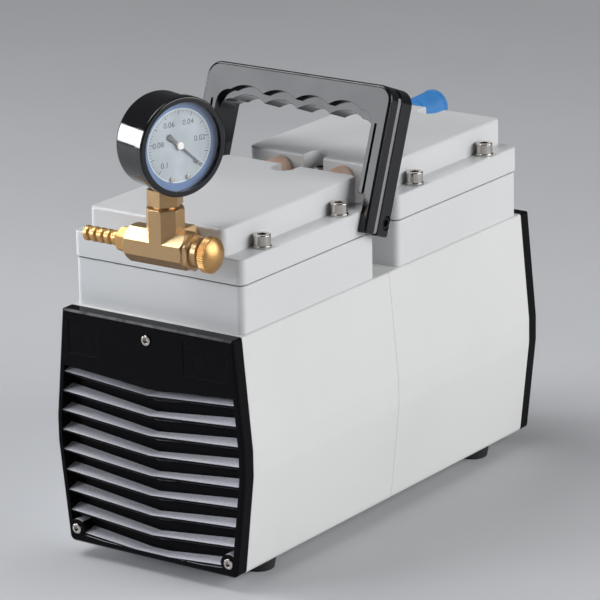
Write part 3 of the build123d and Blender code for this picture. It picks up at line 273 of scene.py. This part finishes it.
BLACK = (0.006, 0.006, 0.007)
DUST = (0.035, 0.035, 0.038)
DUST_SPAN = (0.66, 0.74)        # only the peaks of the fine noise carry dust
# painted sheen: grey standing for light caught on the gloss black blades' tops and on the handle's side stripe
BLADE_SHEEN_GREY = (0.82, 0.82, 0.89)
STRIPE_SHEEN_GREY = (0.27, 0.27, 0.28)
GREY_ROUGHNESS = 0.55
# painted highlight along the top bevel of a front face
TOP_BEVEL_HIGHLIGHT = (0.16, 0.16, 0.17)
TOP_BEVEL = (0.0, -0.7071, 0.7071)   # the bevel along the top of a front face looks this way
BEVEL_MATCH = 0.985             # least cosine between a face's normal and that direction


def black_moulding(name, roughness, specular, sheen_part=None, grey=None):
    """Gloss black plastic with fine dust and a painted highlight along the top bevel.

    The optional function gives where a painted grey sheen goes, grainy and rough, in the colour grey.
    """
    finish = Finish(name, BLACK, roughness, Specular_IOR_Level=specular)
    finish.round_edges(0.4 * MM)
    dust = finish.remap(finish.noise(2600.0, 1.0), DUST_SPAN, (0.0, 1.0))
    colour = finish.mix_colour(dust, BLACK, DUST)
    # painted highlight: a lighter grey on the top bevel, broken up by noise
    bevel = finish.math("GREATER_THAN", finish.along(finish.facing, TOP_BEVEL), BEVEL_MATCH)
    highlight_breakup = finish.remap(finish.noise(120.0, 4.0), (0.35, 0.6), (0.35, 1.0))
    colour = finish.mix_colour(finish.both(bevel, highlight_breakup), colour, TOP_BEVEL_HIGHLIGHT)
    gloss = finish.remap(finish.noise(45.0), NOISE_SPAN, (roughness - 0.04, roughness + 0.07))
    finish.bump(finish.noise(90.0), 0.2 * MM, strength=0.08)
    # painted sheen: a grainy grey laid over the blades' tops or the handle's side stripe
    if sheen_part:
        mask = sheen_part(finish)
        texture = finish.noise(1800.0, 2.0)
        grain = finish.ramp(texture, (0.35, scaled(grey, 0.82)), (0.65, scaled(grey, 1.15)))
        colour = finish.mix_colour(mask, colour, grain)
        gloss = finish.math("MAXIMUM", gloss, finish.math("MULTIPLY", mask, GREY_ROUGHNESS))
    finish.colour_from(colour)
    finish.roughness_from(gloss)
    return finish


BLADE_SETBACK = 0.45 * MM       # a point further back than this is behind the grille's front face
ROOF_DEPTH = 20 * MM            # the grille's own top lies above this depth, and the blades below it
LEAST_UPWARD = 0.8              # least upward reach of a face's normal that counts as facing up


def blade_tops(finish):
    """The louvre blades' upper faces, which carry a painted grey sheen: they face up and lie behind the panel's
    front edge.
    """
    low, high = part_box("front_grille")
    facing_up = finish.along(finish.facing, (0.0, 0.0, 1.0))
    backward = finish.along(finish.place, (0.0, 1.0, 0.0))
    height = finish.along(finish.place, (0.0, 0.0, 1.0))
    upward = finish.math("GREATER_THAN", facing_up, LEAST_UPWARD)
    inside = finish.math("GREATER_THAN", backward, low[1] + BLADE_SETBACK)
    below_roof = finish.math("LESS_THAN", height, high[2] - ROOF_DEPTH)
    return finish.both(upward, finish.both(inside, below_roof))


HANDLE_LEAN = math.radians(20.8)      # back from upright, at rest
STRIPE_AHEAD = (7.4 * MM, 11.2 * MM)  # just within the groove's two sides, measured from the pivot
STRIPE_SINK = 1.4 * MM          # the groove's floor is less than this far inside the handle's sides


def side_stripe(finish):
    """The floor of the groove round the handle's outer sides, which carries a painted grey sheen."""
    low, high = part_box("handle")
    pivot = Vector(joint["handle_tilt"]["pos_m"])
    forward = Vector((0.0, -math.cos(HANDLE_LEAN), math.sin(HANDLE_LEAN)))
    ahead = finish.along(finish.place, forward)
    beyond_near = finish.math("GREATER_THAN", ahead, pivot.dot(forward) + STRIPE_AHEAD[0])
    before_far = finish.math("LESS_THAN", ahead, pivot.dot(forward) + STRIPE_AHEAD[1])
    sideways = finish.math("ABSOLUTE", finish.along(finish.place, (1.0, 0.0, 0.0)), 0.0)
    outer = finish.math("GREATER_THAN", sideways, high[0] - STRIPE_SINK)
    return finish.both(finish.both(beyond_near, before_far), outer)


def metal(name, dark, light, roughness, grain=700.0, stretch=ALL_WAYS, depth=0.02 * MM):
    """Plain metal with a grain of the given scale, which stretch can draw out in one direction."""
    finish = Finish(name, light, roughness, metallic=1.0)
    finish.round_edges(0.3 * MM)
    finish.vary_colour(dark, light, scale=120.0)
    finish.vary_roughness(roughness - 0.06, roughness + 0.08, scale=260.0)
    finish.bump(finish.noise(grain, 3.0, stretch), depth, strength=0.6)
    return finish


PAINTED_LIT_SIDE = (-0.45, 0.15, 0.88)    # faces that look this way get painted light, the others painted shade
PAINTED_LIT_STOP = 0.8                    # place of the brightest painted-light colour on the ramp from painted shade to painted light


def brass(name, dark, light, roughness, blotch):
    """Machined brass: fine grain, with painted light and shade: lighter where a face looks up and left, darker
    where it looks down, plus random blotches.
    """
    finish = Finish(name, light, roughness, metallic=1.0)
    finish.round_edges(0.3 * MM)
    # painted light and shade by the way each face looks, mixed with random blotches
    facing_lamps = finish.along(finish.facing, PAINTED_LIT_SIDE)
    painted_light_and_blotch = finish.math("ADD", facing_lamps, finish.remap(finish.noise(500.0), NOISE_SPAN, (-blotch, blotch)))
    half_lit = tuple(0.75 * a + 0.25 * b for a, b in zip(dark, light))
    shade = finish.remap(painted_light_and_blotch, (-1.0, 1.0), (0.0, 1.0))
    finish.colour_from(finish.ramp(shade, (0.0, dark), (0.5, half_lit), (PAINTED_LIT_STOP, light)))
    finish.vary_roughness(roughness - 0.08, roughness + 0.08, scale=900.0)
    finish.bump(finish.noise(1600.0, 2.0), 0.08 * MM, strength=1.0)
    return finish


HUB_RADIUS = 2.9 * MM
HUB_BRIGHT = (0.85, 0.83, 0.80)


def pointer_metal():
    """Dull grey pointer with a bright turned hub."""
    finish = Finish("pointer", (0.16, 0.16, 0.17), 0.4, metallic=0.8)
    hub = finish.math("LESS_THAN", finish.distance(joint["pointer_swing"]["pos_m"]), HUB_RADIUS)
    dull = finish.ramp(finish.noise(700.0), (0.3, (0.13, 0.13, 0.14)), (0.7, (0.22, 0.22, 0.23)))
    finish.colour_from(finish.mix_colour(hub, dull, HUB_BRIGHT))
    finish.vary_roughness(0.25, 0.4, scale=500.0)
    finish.bump(finish.noise(900.0), 0.02 * MM, strength=0.5)
    return finish


def soft_rubber(name, colour):
    finish = Finish(name, colour, roughness=0.7)
    finish.vary_colour(scaled(colour, 0.7), scaled(colour, 1.3), scale=70.0)
    finish.bump(finish.noise(1200.0, 2.0), 0.04 * MM, strength=0.6)
    return finish


def silicone(name):
    """Tan tubing that lets a little light through."""
    finish = Finish(name, (0.62, 0.43, 0.33), 0.45, Subsurface_Weight=0.35, Subsurface_Scale=4 * MM)
    finish.vary_colour((0.56, 0.38, 0.29), (0.66, 0.47, 0.37), scale=60.0)
    finish.bump(finish.noise(260.0), 0.08 * MM, strength=0.5)
    return finish


def plastic(name, colour, roughness):
    """Plain moulded or printed plastic, slightly uneven."""
    finish = Finish(name, colour, roughness)
    finish.vary_colour(scaled(colour, 0.86), scaled(colour, 1.08), scale=80.0)
    finish.vary_roughness(roughness - 0.05, roughness + 0.08, scale=120.0)
    finish.bump(finish.noise(1500.0, 2.0), 0.03 * MM, strength=0.5)
    return finish


def clear_glass(name):
    finish = Finish(name, (1.0, 1.0, 1.0), 0.02, Transmission_Weight=1.0, IOR=1.45)
    finish.vary_roughness(0.012, 0.04, scale=40.0)
    return finish


FINISHES = {
    "housing_white": white_paint("paint_housing", (0.80, 0.80, 0.79), 0.42),
    "head_white": white_paint("paint_heads", (0.76, 0.77, 0.78), 0.34),
    # the panel's blade tops and the handle's side stripe get a painted grey sheen
    "black_panel": black_moulding("moulding_panel", 0.12, 0.04, blade_tops, BLADE_SHEEN_GREY),
    "handle_black": black_moulding("moulding_handle", 0.12, 0.41, side_stripe, STRIPE_SHEEN_GREY),
    "rubber_black": soft_rubber("rubber", (0.018, 0.018, 0.018)),
    "stainless": metal("stainless", (0.44, 0.42, 0.39), (0.66, 0.63, 0.59), 0.10),
    "steel": metal("steel", (0.42, 0.42, 0.43), (0.56, 0.56, 0.57), 0.34),
    "laminations": metal("laminations", (0.14, 0.14, 0.15), (0.26, 0.26, 0.27), 0.5, 900.0,
                         stretch=(0.02, 6.0, 0.02)),
    "copper_winding": metal("copper_winding", (0.42, 0.16, 0.06), (0.62, 0.27, 0.10), 0.35, 900.0),
    "cast_aluminium": metal("cast_aluminium", (0.46, 0.47, 0.48), (0.62, 0.63, 0.64), 0.48, 500.0,
                            depth=0.08 * MM),
    # each brass gets a painted-shade colour (dark) and a painted-light colour (light)
    "brass": brass("brass", (0.44, 0.27, 0.13), (0.95, 0.70, 0.40), 0.36, blotch=0.09),
    "knob_brass": brass("brass_golden", (0.58, 0.33, 0.13), (0.86, 0.54, 0.22), 0.36, blotch=0.1),
    "silicone_tan": silicone("silicone_tan"),
    "diaphragm_rubber": soft_rubber("diaphragm_rubber", (0.03, 0.03, 0.03)),
    "gauge_black": black_moulding("gauge_enamel", 0.07, 0.5),
    "gauge_glass": clear_glass("gauge_glass"),
    "dial_face": plastic("dial_enamel", (0.38, 0.43, 0.46), 0.45),
    "pointer": pointer_metal(),
    "silencer_blue": plastic("silencer_blue", (0.05, 0.25, 0.62), 0.38),
    "fan_plastic": plastic("fan_plastic", (0.05, 0.05, 0.055), 0.5),
    "electrical_black": plastic("electrical_black", (0.02, 0.02, 0.022), 0.45),
    "rocker_red": plastic("rocker_red", (0.35, 0.02, 0.02), 0.25),
    "black_steel": metal("black_steel", (0.015, 0.015, 0.016), (0.03, 0.03, 0.03), 0.32),
    "pin_brass": metal("pin_brass", (0.70, 0.60, 0.38), (0.82, 0.74, 0.52), 0.2),
}


def dress_cad_nodes():
    """Every CAD node takes the finish of its material slot."""
    for name, node in frame["nodes"].items():
        material = FINISHES[slot_of_node[name]].material
        for slot in node.material_slots:
            slot.link = "OBJECT"
            slot.material = material


# ---- flat pieces ---------------------------------------------------------------------------------

def polar(radius, degrees):
    return radius * math.cos(math.radians(degrees)), radius * math.sin(math.radians(degrees))


def ring_outlines(radii, steps):
    """A flat ring between an inner and an outer radius, as one outline for each step round it."""
    inner, outer = radii
    pitch = 360.0 / steps
    return [[polar(inner, pitch * i), polar(outer, pitch * i), polar(outer, pitch * (i + 1)),
             polar(inner, pitch * (i + 1))] for i in range(steps)]


def tick_outline(degrees, inner, outer, width):
    """A bar along a radius."""
    across = polar(width / 2, degrees + 90.0)
    near = polar(inner, degrees)
    far = polar(outer, degrees)
    return [(near[0] - across[0], near[1] - across[1]), (far[0] - across[0], far[1] - across[1]),
            (far[0] + across[0], far[1] + across[1]), (near[0] + across[0], near[1] + across[1])]


def flat_mesh(name, outlines):
    """One mesh of flat faces, each a list of (right, up) points."""
    points = [(x, y, 0.0) for outline in outlines for x, y in outline]
    faces = []
    first = 0
    for outline in outlines:
        faces.append(tuple(range(first, first + len(outline))))
        first += len(outline)
    mesh = bpy.data.meshes.new(name)
    mesh.from_pydata(points, [], faces)
    return mesh


def new_piece(name, mesh, material):
    """An object in the scene that shows a mesh in one material."""
    mesh.materials.clear()
    mesh.materials.append(material)
    piece = bpy.data.objects.new(name, mesh)
    bpy.context.scene.collection.objects.link(piece)
    return piece


# ---- dial markings -------------------------------------------------------------------------------

DIAL_CENTRE = Vector(joint["pointer_swing"]["pos_m"])
DIAL_NORMAL = Vector(joint["pointer_swing"]["axis"]).normalized()
DIAL_UP = Vector((0.0, 0.0, 1.0))
DIAL_RIGHT = DIAL_UP.cross(DIAL_NORMAL)
SCALE_START = -45.0             # degrees from the dial's right at reading 0
SCALE_STEP = 54.0               # degrees from one number to the next
SCALE_NUMBERS = ("0", "0.02", "0.04", "0.06", "0.08", "0.1")
TICKS_PER_NUMBER = 10
BAND_RADII = (20.4 * MM, 24.9 * MM)
LINE_RADII = (19.9 * MM, 20.5 * MM)
RING_STEPS = 120
TICK_OUTER = 19.7 * MM
LONG_TICK = (17.2 * MM, 0.42 * MM)   # inner radius and width
SHORT_TICK = (18.2 * MM, 0.22 * MM)
NUMBER_RADIUS = 13.6 * MM
NUMBER_SIZE = 4.3 * MM
BAND_LIFT = 0.04 * MM           # how far each kind of mark stands above the dial's face
INK_LIFT = 0.05 * MM
LINE_LIFT = 0.06 * MM


def dial_piece(name, mesh, lift, material):
    """Lay a mesh drawn in (right, up) metres on the dial, `lift` above its face."""
    frame_of_dial = Matrix((DIAL_RIGHT, DIAL_UP, DIAL_NORMAL)).transposed().to_4x4()
    mesh.transform(Matrix.Translation(DIAL_CENTRE + DIAL_NORMAL * lift) @ frame_of_dial)
    piece = new_piece(name, mesh, material)
    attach(piece, body_of_node["gauge_dial"])


def dial_ring(name, radii, lift, material):
    dial_piece(name, flat_mesh(name, ring_outlines(radii, RING_STEPS)), lift, material)


def tick_outlines():
    """Every mark of the scale, a long one at each number and halfway between two."""
    ticks = []
    for count in range(TICKS_PER_NUMBER * (len(SCALE_NUMBERS) - 1) + 1):
        degrees = SCALE_START + SCALE_STEP * count / TICKS_PER_NUMBER
        is_long = count % (TICKS_PER_NUMBER // 2) == 0
        inner, width = LONG_TICK if is_long else SHORT_TICK
        ticks.append(tick_outline(degrees, inner, TICK_OUTER, width))
    return ticks


def number_mesh(number, place):
    """A number as a flat mesh, centred on a (right, up) place."""
    text = bpy.data.curves.new("dial_text", "FONT")
    text.body = number
    text.size = NUMBER_SIZE
    text.align_x = "CENTER"
    text.align_y = "CENTER"
    holder = bpy.data.objects.new("dial_text", text)
    mesh = bpy.data.meshes.new_from_object(holder)
    mesh.transform(Matrix.Translation((*place, 0.0)))
    bpy.data.objects.remove(holder)
    return mesh


def add_dial_markings():
    ink = plastic("dial_ink", (0.05, 0.06, 0.08), 0.5).material
    blue = plastic("dial_blue", (0.10, 0.18, 0.36), 0.45).material
    white = plastic("dial_white", (0.55, 0.60, 0.62), 0.45).material
    dial_ring("dial_band", BAND_RADII, BAND_LIFT, blue)
    dial_ring("dial_line", LINE_RADII, LINE_LIFT, white)
    dial_piece("dial_ticks", flat_mesh("dial_ticks", tick_outlines()), INK_LIFT, ink)
    for count, number in enumerate(SCALE_NUMBERS):
        mesh = number_mesh(number, polar(NUMBER_RADIUS, SCALE_START + SCALE_STEP * count))
        dial_piece(f"dial_number_{count}", mesh, INK_LIFT, ink)


# ---- switch marks --------------------------------------------------------------------------------

BAR_HALF_WIDTH = 0.45 * MM
BAR_HALF_LENGTH = 2.6 * MM
OFF_RING_RADII = (1.7 * MM, 2.5 * MM)
OFF_RING_STEPS = 40
SIGN_LIFT = 0.05 * MM
RAY_START = 5 * MM              # a ray starts this far outside the rocker


def add_rocker_sign(name, outlines, height, paint):
    """Lay a flat sign over the rocker's face by rays from outside, with its middle at the given height."""
    low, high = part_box("switch_rocker")
    rocker = frame["nodes"]["switch_rocker"]
    to_rocker = rocker.matrix_world.inverted()
    inward = to_rocker.to_3x3() @ Vector((0.0, -1.0, 0.0))
    middle = (low[0] + high[0]) / 2
    mesh = flat_mesh(name, outlines)
    for vertex in mesh.vertices:
        start = Vector((middle - vertex.co.x, high[1] + RAY_START, height + vertex.co.y))
        _, place, normal, _ = rocker.ray_cast(to_rocker @ start, inward)
        vertex.co = rocker.matrix_world @ (place + normal * SIGN_LIFT)
    piece = new_piece(name, mesh, paint)
    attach(piece, body_of_node["switch_rocker"])


def add_rocker_marks():
    """The on and off signs, a bar and a ring, moulded in white on the rocker's face."""
    low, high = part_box("switch_rocker")
    quarter = (high[2] - low[2]) / 4
    paint = plastic("switch_mark", (0.80, 0.80, 0.78), 0.4).material
    bar = [(-BAR_HALF_WIDTH, -BAR_HALF_LENGTH), (BAR_HALF_WIDTH, -BAR_HALF_LENGTH),
           (BAR_HALF_WIDTH, BAR_HALF_LENGTH), (-BAR_HALF_WIDTH, BAR_HALF_LENGTH)]
    ring = ring_outlines(OFF_RING_RADII, OFF_RING_STEPS)
    add_rocker_sign("switch_sign_on", [bar], high[2] - quarter, paint)
    add_rocker_sign("switch_sign_off", ring, low[2] + quarter, paint)


# ---- build ---------------------------------------------------------------------------------------

dress_cad_nodes()
add_dial_markings()
add_rocker_marks()
frame["nodes"]["gauge_glass"].visible_shadow = False    # so that the glass doesn't darken the dial
add_camera()
add_lights()
add_floor()
